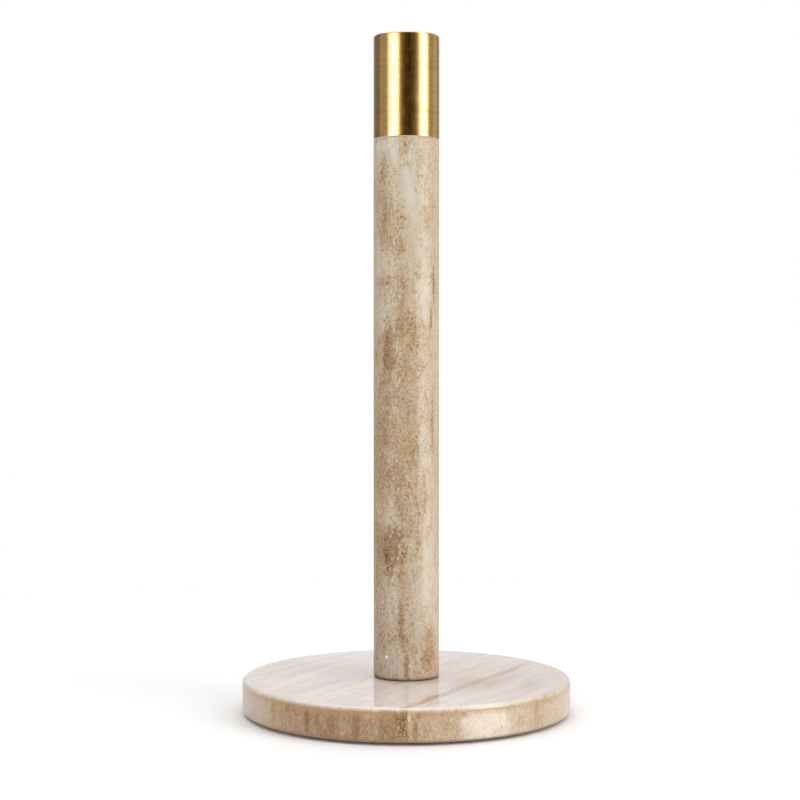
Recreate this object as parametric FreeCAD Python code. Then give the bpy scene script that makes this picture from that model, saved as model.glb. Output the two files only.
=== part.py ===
import FreeCAD, Part
import math
import os

# Paper towel holder: a polished stone disc, a polished stone post standing on it, and a long brushed brass
# cap that finishes the post.  One threaded rod runs up the middle.  A nut in a recess under the disc and a
# nut on top of the post clamp the two stones together; the cap screws down over the upper nut on the rod
# that is left, until its rim meets the post.
#
# Frame: millimetres, +Z up along the post.  The origin is on the surface the holder stands on, on the axis
# of the post and the disc.

os.makedirs("parts", exist_ok=True)

# ---------------------------------------------------------------- driving dimensions (mm)
foot_height = 1.2            # soft pads under the disc
foot_radius = 6.0
foot_circle = 60.0           # radius of the circle the four pads stand on
foot_edge = 0.35             # rounded lower edge of a pad

base_radius = 75.0
base_thickness = 15.0
base_edge = 1.8              # rounded upper and lower edge of the disc
recess_radius = 13.0         # recess under the disc for the lower nut and washers
recess_depth = 9.5
bore_radius = 5.0            # clearance hole for the rod, in the disc and in the post
seat_inner_radius = 16.0     # the roll's seat is the top of the disc outside this circle, round the post's foot

seat_gasket_thickness = 0.4  # thin dark sheet between disc and post
seat_gasket_radius = 14.4

post_radius = 15.0
post_length = 245.0
post_edge = 0.5              # small rounded edge at each end of the post

rim_ring_thickness = 0.25    # thin pale ring between post and cap rim
rim_ring_outer = 14.7
rim_ring_inner = 13.9

cap_radius = 15.07           # a hair proud of the post
cap_bore_radius = 13.9       # inside of the shell
cap_height = 46.8
cap_top_thickness = 1.6
cap_top_edge = 0.9           # rounded edge round the top of the cap
cap_rim_edge = 0.15          # broken edge at the rim

rod_radius = 4.0             # M8 x 1.25, drawn at its major diameter
rod_pitch = 1.25
rod_end_chamfer = 0.8
rod_bottom = foot_height + 0.4
thread_engagement = 10.0     # rod inside the cap's insert with the cap down: eight turns

insert_gap = 15.4            # from the top of the post up to the underside of the insert
insert_height = 12.0
insert_bore = 4.05           # running clearance on the rod
insert_chamfer = 0.8

cushion_thickness = 1.0      # rubber washers against the stone
cushion_radius = 12.0
cushion_bore = 5.0
flat_washer_thickness = 1.6
flat_washer_radius = 12.0
flat_washer_bore = 4.2
spring_washer_thickness = 2.0
spring_washer_radius = 6.9
spring_washer_bore = 4.1
spring_washer_gap = 1.4      # the split
nut_flats = 13.0             # across flats
nut_height = 6.5
jam_nut_height = 4.0

# ---------------------------------------------------------------- levels along Z
z_base = foot_height
z_base_top = z_base + base_thickness
z_recess = z_base + recess_depth
z_post = z_base_top + seat_gasket_thickness
z_post_top = z_post + post_length
z_rim = z_post_top + rim_ring_thickness
z_top = z_rim + cap_height
z_insert = z_post_top + insert_gap
z_rod_top = z_insert + thread_engagement

V = FreeCAD.Vector
Z = V(0, 0, 1)
O = V(0, 0, 0)


# ---------------------------------------------------------------- profile helpers
def rounded_profile(corners):
    """A closed wire in the XZ plane.  corners: (r, z, radius of the rounding at that corner)."""
    n = len(corners)
    starts, ends, mids = [], [], []
    for i, (r, z, f) in enumerate(corners):
        p = V(r, 0, z)
        a = V(corners[i - 1][0], 0, corners[i - 1][1]) - p
        b = V(corners[(i + 1) % n][0], 0, corners[(i + 1) % n][1]) - p
        if f <= 0:
            starts.append(p), ends.append(p), mids.append(None)
            continue
        a.normalize()
        b.normalize()
        half = a.getAngle(b) / 2.0
        reach = f / math.tan(half)
        s, e = p + a * reach, p + b * reach
        toward = a + b
        toward.normalize()
        centre = p + toward * (f / math.sin(half))
        starts.append(s), ends.append(e), mids.append(centre - toward * f)
    edges = []
    for i in range(n):
        if mids[i] is not None:
            edges.append(Part.Arc(starts[i], mids[i], ends[i]).toShape())
        nxt = starts[(i + 1) % n]
        if (nxt - ends[i]).Length > 1e-7:
            edges.append(Part.LineSegment(ends[i], nxt).toShape())
    return Part.Wire(edges)


def turned(corners):
    """A turned body: the profile revolved a full turn about Z."""
    face = Part.Face(rounded_profile(corners))
    solid = face.revolve(O, Z, 360.0)
    if solid.ShapeType != "Solid":
        solid = solid.Solids[0]
    if solid.Volume < 0:
        solid.reverse()
    return solid


def ring(outer, inner, z0, height, edge=0.0):
    return turned(
        [
            (inner, z0, 0.0),
            (outer, z0, edge),
            (outer, z0 + height, edge),
            (inner, z0 + height, 0.0),
        ]
    )


def split_washer(z0):
    """A spring washer: a flat-section ring cut through once, the cut leaning as it climbs."""
    body = ring(spring_washer_radius, spring_washer_bore, z0, spring_washer_thickness, 0.15)
    h = spring_washer_thickness + 2.0
    lean = 0.6
    g = spring_washer_gap / 2.0
    pts = [
        V(0, -g - lean, z0 - 1.0),
        V(0, g - lean, z0 - 1.0),
        V(0, g + lean, z0 - 1.0 + h),
        V(0, -g + lean, z0 - 1.0 + h),
    ]
    cutter = Part.Face(Part.makePolygon(pts + [pts[0]])).extrude(V(20, 0, 0))
    return body.cut(cutter)


def hex_nut(z0, height, turn_deg):
    """A hexagon nut with its corners turned off at both faces and a countersunk bore."""
    corner = nut_flats / math.sqrt(3.0)
    pts = [
        V(
            corner * math.cos(math.radians(60 * i + turn_deg)),
            corner * math.sin(math.radians(60 * i + turn_deg)),
            z0,
        )
        for i in range(6)
    ]
    block = Part.Face(Part.makePolygon(pts + [pts[0]])).extrude(V(0, 0, height))
    crown = 0.55
    lathe = turned(
        [
            (0.0, z0, 0.0),
            (nut_flats / 2.0 - 0.1, z0, 0.0),
            (corner + 0.1, z0 + crown, 0.0),
            (corner + 0.1, z0 + height - crown, 0.0),
            (nut_flats / 2.0 - 0.1, z0 + height, 0.0),
            (0.0, z0 + height, 0.0),
        ]
    )
    block = block.common(lathe)
    sink = 0.45
    hole = turned(
        [
            (0.0, z0 - 1.0, 0.0),
            (rod_radius + sink + 1.0, z0 - 1.0, 0.0),
            (rod_radius, z0 + sink, 0.0),
            (rod_radius, z0 + height - sink, 0.0),
            (rod_radius + sink + 1.0, z0 + height + 1.0, 0.0),
            (0.0, z0 + height + 1.0, 0.0),
        ]
    )
    return block.cut(hole)


# ---------------------------------------------------------------- the stones
base = turned(
    [
        (bore_radius, z_recess, 0.0),
        (recess_radius, z_recess, 0.4),
        (recess_radius, z_base, 0.0),
        (base_radius, z_base, base_edge),
        (base_radius, z_base_top, base_edge),
        (seat_inner_radius, z_base_top, 0.0),
        (bore_radius, z_base_top, 0.0),
    ]
)

column = turned(
    [
        (bore_radius, z_post, 0.0),
        (post_radius, z_post, post_edge),
        (post_radius, z_post_top, post_edge),
        (bore_radius, z_post_top, 0.0),
    ]
)

column_seat_gasket = ring(seat_gasket_radius, bore_radius, z_base_top, seat_gasket_thickness)

# ---------------------------------------------------------------- the cap
cap_inner = cap_bore_radius
cap_shell = turned(
    [
        (cap_inner, z_rim, 0.0),
        (cap_radius, z_rim, cap_rim_edge),
        (cap_radius, z_top, cap_top_edge),
        (0.0, z_top, 0.0),
        (0.0, z_top - cap_top_thickness, 0.0),
        (cap_inner, z_top - cap_top_thickness, 0.6),
    ]
)

cap_insert = turned(
    [
        (insert_bore + insert_chamfer, z_insert, 0.0),
        (cap_inner, z_insert, 0.3),
        (cap_inner, z_insert + insert_height, 0.3),
        (insert_bore + insert_chamfer, z_insert + insert_height, 0.0),
        (insert_bore, z_insert + insert_height - insert_chamfer, 0.0),
        (insert_bore, z_insert + insert_chamfer, 0.0),
    ]
)

cap_rim_ring = ring(rim_ring_outer, rim_ring_inner, z_post_top, rim_ring_thickness)

# ---------------------------------------------------------------- the rod and what clamps on it
tie_rod = turned(
    [
        (0.0, rod_bottom, 0.0),
        (rod_radius - rod_end_chamfer, rod_bottom, 0.0),
        (rod_radius, rod_bottom + rod_end_chamfer, 0.0),
        (rod_radius, z_rod_top - rod_end_chamfer, 0.0),
        (rod_radius - rod_end_chamfer, z_rod_top, 0.0),
        (0.0, z_rod_top, 0.0),
    ]
)

# upper stack, climbing from the top of the post inside the cap
z = z_post_top
upper_cushion_washer = ring(cushion_radius, cushion_bore, z, cushion_thickness, 0.2)
z += cushion_thickness
upper_flat_washer = ring(flat_washer_radius, flat_washer_bore, z, flat_washer_thickness, 0.25)
z += flat_washer_thickness
upper_spring_washer = split_washer(z)
z += spring_washer_thickness
upper_clamp_nut = hex_nut(z, nut_height, 10.0)

# lower stack, going down from the roof of the recess
z = z_recess - cushion_thickness
lower_cushion_washer = ring(cushion_radius, cushion_bore, z, cushion_thickness, 0.2)
z -= flat_washer_thickness
lower_flat_washer = ring(flat_washer_radius, flat_washer_bore, z, flat_washer_thickness, 0.25)
z -= spring_washer_thickness
lower_spring_washer = split_washer(z)
z -= jam_nut_height
lower_clamp_nut = hex_nut(z, jam_nut_height, 0.0)


# ---------------------------------------------------------------- feet
def foot(azimuth_deg):
    pad = turned(
        [
            (0.0, 0.0, 0.0),
            (foot_radius, 0.0, foot_edge),
            (foot_radius, foot_height, 0.0),
            (0.0, foot_height, 0.0),
        ]
    )
    a = math.radians(azimuth_deg)
    pad.translate(V(foot_circle * math.cos(a), foot_circle * math.sin(a), 0.0))
    return pad


nodes = {
    "base": base,
    "column": column,
    "column_seat_gasket": column_seat_gasket,
    "cap_shell": cap_shell,
    "cap_insert": cap_insert,
    "cap_rim_ring": cap_rim_ring,
    "tie_rod": tie_rod,
    "upper_cushion_washer": upper_cushion_washer,
    "upper_flat_washer": upper_flat_washer,
    "upper_spring_washer": upper_spring_washer,
    "upper_clamp_nut": upper_clamp_nut,
    "lower_cushion_washer": lower_cushion_washer,
    "lower_flat_washer": lower_flat_washer,
    "lower_spring_washer": lower_spring_washer,
    "lower_clamp_nut": lower_clamp_nut,
    "foot_front_left": foot(225.0),
    "foot_front_right": foot(315.0),
    "foot_back_right": foot(45.0),
    "foot_back_left": foot(135.0),
}

for name, shape in nodes.items():
    assert len(shape.Solids) == 1, (name, len(shape.Solids))
    solid = shape.Solids[0]
    assert solid.isValid() and solid.Volume > 0, name
    solid.exportStep("parts/%s.step" % name)
    bb = solid.BoundBox
    print(
        "%-22s volume %10.1f mm3   z %7.2f .. %7.2f   r %6.2f"
        % (name, solid.Volume, bb.ZMin, bb.ZMax, max(bb.XMax, bb.YMax))
    )

print("height %.2f  rod length %.2f  turns to free the cap %.2f" % (z_top, z_rod_top - rod_bottom, thread_engagement / rod_pitch))
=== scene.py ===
import math
import random

import bmesh
import bpy
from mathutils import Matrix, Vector, noise


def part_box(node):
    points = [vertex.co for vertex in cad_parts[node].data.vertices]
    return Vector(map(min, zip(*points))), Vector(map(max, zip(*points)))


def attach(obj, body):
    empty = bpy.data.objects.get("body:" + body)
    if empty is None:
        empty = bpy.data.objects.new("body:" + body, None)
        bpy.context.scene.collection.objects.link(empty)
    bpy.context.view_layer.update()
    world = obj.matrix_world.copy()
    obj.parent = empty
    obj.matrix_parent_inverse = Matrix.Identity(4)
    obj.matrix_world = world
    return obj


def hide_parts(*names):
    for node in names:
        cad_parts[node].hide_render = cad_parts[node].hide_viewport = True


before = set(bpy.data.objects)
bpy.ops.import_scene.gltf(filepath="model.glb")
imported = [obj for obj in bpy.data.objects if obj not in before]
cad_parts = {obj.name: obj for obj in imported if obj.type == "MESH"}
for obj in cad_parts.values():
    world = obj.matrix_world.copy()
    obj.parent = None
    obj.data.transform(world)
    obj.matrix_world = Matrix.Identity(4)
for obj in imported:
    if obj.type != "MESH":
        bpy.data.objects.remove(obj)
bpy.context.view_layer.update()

MM = 0.001
PI = math.pi


# =====================================================================================================
#  small helpers
# =====================================================================================================
def lerp(a, b, t):
    return a + (b - a) * t


def smooth(a, b, x):
    if a == b:
        return 0.0 if x < a else 1.0
    t = min(1.0, max(0.0, (x - a) / (b - a)))
    return t * t * (3.0 - 2.0 * t)


def fbm(x, y, z, octaves=3):
    total, amp = 0.0, 1.0
    for i in range(octaves):
        total += amp * noise.noise(Vector((x, y, z)))
        x, y, z, amp = x * 2.03 + 5.1, y * 2.03 + 1.7, z * 2.03 + 3.3, amp * 0.5
    return total


def rounded(points, steps=6):
    """A polyline (r, z) in millimetres from corners (r, z, rounding), each rounding drawn with so many steps."""
    out = []
    n = len(points)
    for i, (r, z, f) in enumerate(points):
        if f <= 0 or i in (0, n - 1):
            out.append((r, z))
            continue
        p = Vector((r, z))
        a = Vector(points[i - 1][:2]) - p
        b = Vector(points[i + 1][:2]) - p
        a.normalize(), b.normalize()
        half = a.angle(b) / 2.0
        reach = f / math.tan(half)
        centre = p + (a + b).normalized() * (f / math.sin(half))
        s = p + a * reach - centre
        e = p + b * reach - centre
        sweep = s.angle_signed(e)
        for k in range(steps + 1):
            t = -sweep * k / steps
            c, q = math.cos(t), math.sin(t)
            out.append((centre.x + s.x * c - s.y * q, centre.y + s.x * q + s.y * c))
    return out


def divided(line, longest):
    """The polyline with no run longer than that."""
    out = [line[0]]
    for (r0, z0), (r1, z1) in zip(line, line[1:]):
        n = max(1, math.ceil(math.hypot(r1 - r0, z1 - z0) / longest))
        for k in range(1, n + 1):
            out.append((lerp(r0, r1, k / n), lerp(z0, z1, k / n)))
    return out


def lathe(name, line, segments, closed=True, move=None, smooth_angle=38.0, phase=0.0, at=(0.0, 0.0)):
    """Turns a profile (r, z in mm) about Z into one closed mesh. move(r, z, angle) may shift a point: it returns (r, z).
    phase turns the whole mesh, and at moves its axis."""
    bm = bmesh.new()
    rings = []
    for r, z in line:
        if r < 1e-6:
            rings.append([bm.verts.new((at[0] * MM, at[1] * MM, z * MM))])
            continue
        ring = []
        for i in range(segments):
            a = 2.0 * PI * i / segments
            rr, zz = move(r, z, a) if move else (r, z)
            ring.append(bm.verts.new(((at[0] + rr * math.cos(a + phase)) * MM, (at[1] + rr * math.sin(a + phase)) * MM, zz * MM)))
        rings.append(ring)
    pairs = list(zip(rings, rings[1:]))
    if closed:
        pairs.append((rings[-1], rings[0]))
    for a, b in pairs:
        if len(a) == 1 and len(b) == 1:
            continue
        for i in range(segments):
            j = (i + 1) % segments
            if len(a) == 1:
                bm.faces.new((a[0], b[j], b[i]))
            elif len(b) == 1:
                bm.faces.new((a[i], a[j], b[0]))
            else:
                bm.faces.new((a[i], a[j], b[j], b[i]))
    return finish_mesh(name, bm, smooth_angle)


def finish_mesh(name, bm, smooth_angle=38.0):
    bmesh.ops.recalc_face_normals(bm, faces=bm.faces)
    if bm.calc_volume(signed=True) < 0:
        bmesh.ops.reverse_faces(bm, faces=bm.faces)
    for f in bm.faces:
        f.smooth = True
    limit = math.radians(smooth_angle)
    for e in bm.edges:
        e.smooth = not (len(e.link_faces) == 2 and e.calc_face_angle(0.0) > limit)
    me = bpy.data.meshes.new(name)
    bm.to_mesh(me)
    bm.free()
    ob = bpy.data.objects.new(name, me)
    bpy.context.scene.collection.objects.link(ob)
    return ob


# =====================================================================================================
#  node writing
# =====================================================================================================
class Tree:
    """Writes a node tree as expressions. A value is a number, a tuple, or an output socket."""

    def __init__(self, tree):
        self.tree = tree
        self.n = 0

    def node(self, kind, sockets=None, **props):
        nd = self.tree.nodes.new(kind)
        nd.location = (self.n % 24 * 190, -(self.n // 24) * 320)
        self.n += 1
        for k, v in props.items():
            setattr(nd, k, v)
        for k, v in (sockets or {}).items():
            self.put(nd.inputs[k], v)
        return nd

    def put(self, socket, v):
        if isinstance(v, bpy.types.NodeSocket):
            self.tree.links.new(v, socket)
        elif v is not None:
            if socket.type == "RGBA" and not hasattr(v, "__len__"):
                v = (v, v, v, 1.0)
            elif socket.type == "RGBA" and len(v) == 3:
                v = (*v, 1.0)
            elif socket.type == "VECTOR" and not hasattr(v, "__len__"):
                v = (v, v, v)
            socket.default_value = v

    def math(self, op, a, b=None, c=None, clamp=False):
        nd = self.node("ShaderNodeMath", operation=op, use_clamp=clamp)
        for i, v in enumerate((a, b, c)):
            if v is not None:
                self.put(nd.inputs[i], v)
        return nd.outputs[0]

    def add(self, a, b, clamp=False):
        return self.math("ADD", a, b, clamp=clamp)

    def sub(self, a, b, clamp=False):
        return self.math("SUBTRACT", a, b, clamp=clamp)

    def mul(self, a, b, clamp=False):
        return self.math("MULTIPLY", a, b, clamp=clamp)

    def vec(self, x, y, z):
        nd = self.node("ShaderNodeCombineXYZ")
        for i, v in enumerate((x, y, z)):
            self.put(nd.inputs[i], v)
        return nd.outputs[0]

    def vmath(self, op, a, b=None, scale=None):
        nd = self.node("ShaderNodeVectorMath", operation=op)
        self.put(nd.inputs[0], a)
        if b is not None:
            self.put(nd.inputs[1], b)
        if scale is not None:
            self.put(nd.inputs["Scale"], scale)
        return nd.outputs["Value"] if op in ("LENGTH", "DOT_PRODUCT", "DISTANCE") else nd.outputs[0]

    def split(self, v):
        nd = self.node("ShaderNodeSeparateXYZ", {"Vector": v})
        return nd.outputs[0], nd.outputs[1], nd.outputs[2]

    def noise(self, v, scale=1.0, detail=2.0, rough=0.5, lac=2.0, distort=0.0, colour=False):
        nd = self.node(
            "ShaderNodeTexNoise",
            {"Vector": v, "Scale": scale, "Detail": detail, "Roughness": rough, "Lacunarity": lac, "Distortion": distort},
            noise_dimensions="3D",
        )
        return nd.outputs["Color" if colour else 0]

    def voronoi(self, v, scale=1.0, feature="F1", out="Distance", rand=1.0):
        nd = self.node("ShaderNodeTexVoronoi", {"Vector": v, "Scale": scale, "Randomness": rand}, feature=feature, voronoi_dimensions="3D")
        return nd.outputs[out]

    def step(self, v, lo, hi, a=0.0, b=1.0):
        """Smooth ramp of v from lo to hi, giving a to b."""
        nd = self.node("ShaderNodeMapRange", interpolation_type="SMOOTHSTEP")
        for k, x in (("Value", v), ("From Min", lo), ("From Max", hi), ("To Min", a), ("To Max", b)):
            self.put(nd.inputs[k], x)
        return nd.outputs[0]

    def linear(self, v, lo, hi, a=0.0, b=1.0, clamp=True):
        nd = self.node("ShaderNodeMapRange", interpolation_type="LINEAR", clamp=clamp)
        for k, x in (("Value", v), ("From Min", lo), ("From Max", hi), ("To Min", a), ("To Max", b)):
            self.put(nd.inputs[k], x)
        return nd.outputs[0]

    def mix(self, f, a, b, blend="MIX"):
        nd = self.node("ShaderNodeMix", data_type="RGBA", blend_type=blend, clamp_factor=True)
        self.put(nd.inputs[0], f)
        self.put(nd.inputs[6], a)
        self.put(nd.inputs[7], b)
        return nd.outputs[2]

    def ramp(self, v, stops, interp="LINEAR"):
        nd = self.node("ShaderNodeValToRGB", {"Fac": v})
        cr = nd.color_ramp
        cr.interpolation = interp
        while len(cr.elements) < len(stops):
            cr.elements.new(0.5)
        for el, (p, c) in zip(cr.elements, stops):
            el.position = p
            el.color = (*c, 1.0) if len(c) == 3 else c
        return nd.outputs[0]

    def bump(self, height, strength, distance, normal=None):
        nd = self.node("ShaderNodeBump", {"Height": height, "Strength": strength, "Distance": distance})
        if normal is not None:
            self.put(nd.inputs["Normal"], normal)
        return nd.outputs[0]


def srgb(r, g, b):
    def one(c):
        c /= 255.0
        return c / 12.92 if c <= 0.04045 else ((c + 0.055) / 1.055) ** 2.4

    return (one(r), one(g), one(b))


def material(name):
    m = bpy.data.materials.new(name)
    m.use_nodes = True
    m.node_tree.nodes.clear()
    t = Tree(m.node_tree)
    out = t.node("ShaderNodeOutputMaterial")
    bsdf = t.node("ShaderNodeBsdfPrincipled")
    m.node_tree.links.new(bsdf.outputs[0], out.inputs[0])
    return m, t, bsdf


def place(t):
    """Position on the object in millimetres."""
    tc = t.node("ShaderNodeTexCoord")
    return t.vmath("SCALE", tc.outputs["Object"], scale=1000.0)


# =====================================================================================================
#  camera
# =====================================================================================================
cam_data = bpy.data.cameras.new("camera")
cam = bpy.data.objects.new("camera", cam_data)
bpy.context.scene.collection.objects.link(cam)
cam_data.sensor_width = 36.0
cam_data.lens = 77.94
cam_data.clip_start, cam_data.clip_end = 0.01, 60.0
cam.location = (-0.0029, -0.7932, 0.1584)
cam.rotation_euler = (math.radians(90.0 - 1.115), 0.0, 0.0)
bpy.context.scene.camera = cam

# =====================================================================================================
#  studio: a pale floor, tall soft boxes left and right, one soft box overhead, quiet walls
# =====================================================================================================
scene = bpy.context.scene
scene.view_settings.view_transform = "Standard"
scene.view_settings.look = "None"
scene.view_settings.exposure = 0.0
scene.view_settings.gamma = 1.0


world = bpy.data.worlds.new("studio")
scene.world = world
world.use_nodes = True
world.node_tree.nodes.clear()
w = Tree(world.node_tree)
wout = w.node("ShaderNodeOutputWorld")
tc = w.node("ShaderNodeTexCoord")
dx, dy, dz = w.split(tc.outputs["Generated"])
az = w.math("ARCTAN2", dx, w.mul(dy, -1.0))          # 0 towards the camera, + to the right
az01 = w.linear(az, -PI, PI, 0.0, 1.0)


def at(deg):
    return (deg + 180.0) / 360.0


def grey(v):
    return (v, v, v)


# how bright the studio is all the way round, over 5: two tall soft boxes, dark drapes behind the camera, a pale backdrop
SOFT = (
    (-180, 0.84), (-160, 0.82), (-150, 0.24), (-110, 0.19), (-103, 0.40), (-86, 0.36), (-73, 0.42), (-68, 0.75), (-63, 1.9),
    (-57, 3.5), (-46, 4.9), (-36, 3.9), (-29, 2.1), (-24, 0.85), (-18, 0.26), (-8, 0.085), (10, 0.025), (20, 0.07),
    (30, 0.15), (38, 0.34), (44, 0.85), (50, 2.0), (56, 4.5), (67, 4.9), (76, 2.6), (82, 0.9), (88, 0.42), (103, 0.34),
    (113, 0.58), (123, 0.56), (146, 0.26), (180, 0.84),
)
walls = w.ramp(az01, [(at(a), grey(v / 5.0)) for a, v in SOFT])
# the drapes are brown
brown = w.mul(w.step(az, math.radians(-30), math.radians(-12)), w.step(az, math.radians(42), math.radians(24)))
walls = w.mix(brown, walls, w.mix(1.0, walls, (1.0, 0.72, 0.30), "MULTIPLY"))
leftside = w.step(w.math("ABSOLUTE", w.sub(az, math.radians(-45))), math.radians(40), math.radians(24))
walls = w.mix(w.mul(leftside, w.step(dz, 0.26, 0.40)), walls, grey(0.30 / 5.0))
up = w.step(dz, 0.60, 0.82)
room = w.mix(up, walls, grey(1.72 / 5.0))
low = w.step(dz, -0.42, -0.60)
room = w.mix(low, room, grey(0.5 / 5.0))
bg_room = w.node("ShaderNodeBackground", {"Color": room, "Strength": 5.0})
bg_seen = w.node("ShaderNodeBackground", {"Color": (1.0, 1.0, 1.0), "Strength": 1.0})
lp = w.node("ShaderNodeLightPath")
mixw = w.node("ShaderNodeMixShader", {0: lp.outputs["Is Camera Ray"], 1: bg_room.outputs[0], 2: bg_seen.outputs[0]})
world.node_tree.links.new(mixw.outputs[0], wout.inputs[0])

# the floor: a wide disc
bm = bmesh.new()
ring0 = [bm.verts.new((0.0, 0.0, 0.0))]
prev = ring0
for r in (0.1, 0.2, 0.3, 0.46):
    ring1 = [bm.verts.new((r * math.cos(2 * PI * i / 96), r * math.sin(2 * PI * i / 96), 0.0)) for i in range(96)]
    for i in range(96):
        j = (i + 1) % 96
        if len(prev) == 1:
            bm.faces.new((prev[0], ring1[i], ring1[j]))
        else:
            bm.faces.new((prev[i], ring1[i], ring1[j], prev[j]))
    prev = ring1
me = bpy.data.meshes.new("floor")
bm.to_mesh(me)
bm.free()
floor = bpy.data.objects.new("floor", me)
scene.collection.objects.link(floor)
fm, ft, fb = material("pale_floor")
fp = place(ft)
ft.put(fb.inputs["Base Color"], ft.mix(ft.noise(fp, 0.01, 3.0), (0.86, 0.86, 0.86), (0.88, 0.88, 0.88)))
fb.inputs["Roughness"].default_value = 0.7
fb.inputs["Specular IOR Level"].default_value = 0.2
me.materials.append(fm)

# =====================================================================================================
#  levels, read from the frame
# =====================================================================================================
b_lo, b_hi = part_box("base")
c_lo, c_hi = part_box("column")
k_lo, k_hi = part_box("cap_shell")
base_z0, base_z1 = b_lo.z / MM, b_hi.z / MM
col_z0, col_z1 = c_lo.z / MM, c_hi.z / MM
cap_z0, cap_z1 = k_lo.z / MM, k_hi.z / MM

# =====================================================================================================
#  stone
# =====================================================================================================
VEIN = math.radians(60.0)        # the veins' direction in plan


def albedo(r, g, b, scale=0.86):
    """The stone's own colour, from how it looks in the studio's light."""
    return tuple(min(0.95, c * scale) for c in srgb(r, g, b))


def spot(t, sz, s, z, hs, hz, wob, hard=0.35):
    """1 inside a patch of the surface, 0 outside. sz is (arc length, height), all in millimetres."""
    q = t.vmath("DIVIDE", t.vmath("SUBTRACT", sz, (s, z, 0.0)), (hs, hz, 1.0))
    return t.step(t.add(t.vmath("LENGTH", q), wob), 1.0 + hard, 1.0 - hard)


def patches(t, sz, items, wob, start=0.0, pale=0.35):
    """Adds up patches (arc, height, half width, half height, weight). pale is how soft the lightening ones are."""
    total = start
    for s, z, hs, hz, weight in items:
        total = t.math("MULTIPLY_ADD", spot(t, sz, s, z, hs, hz, wob, pale if weight < 0 else 0.35), weight, total)
    return total


def around(t, x, y, radius):
    """Arc length round Z in millimetres, 0 at the front, positive to the right."""
    return t.mul(t.math("ARCTAN2", x, t.mul(y, -1.0)), radius)


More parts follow.
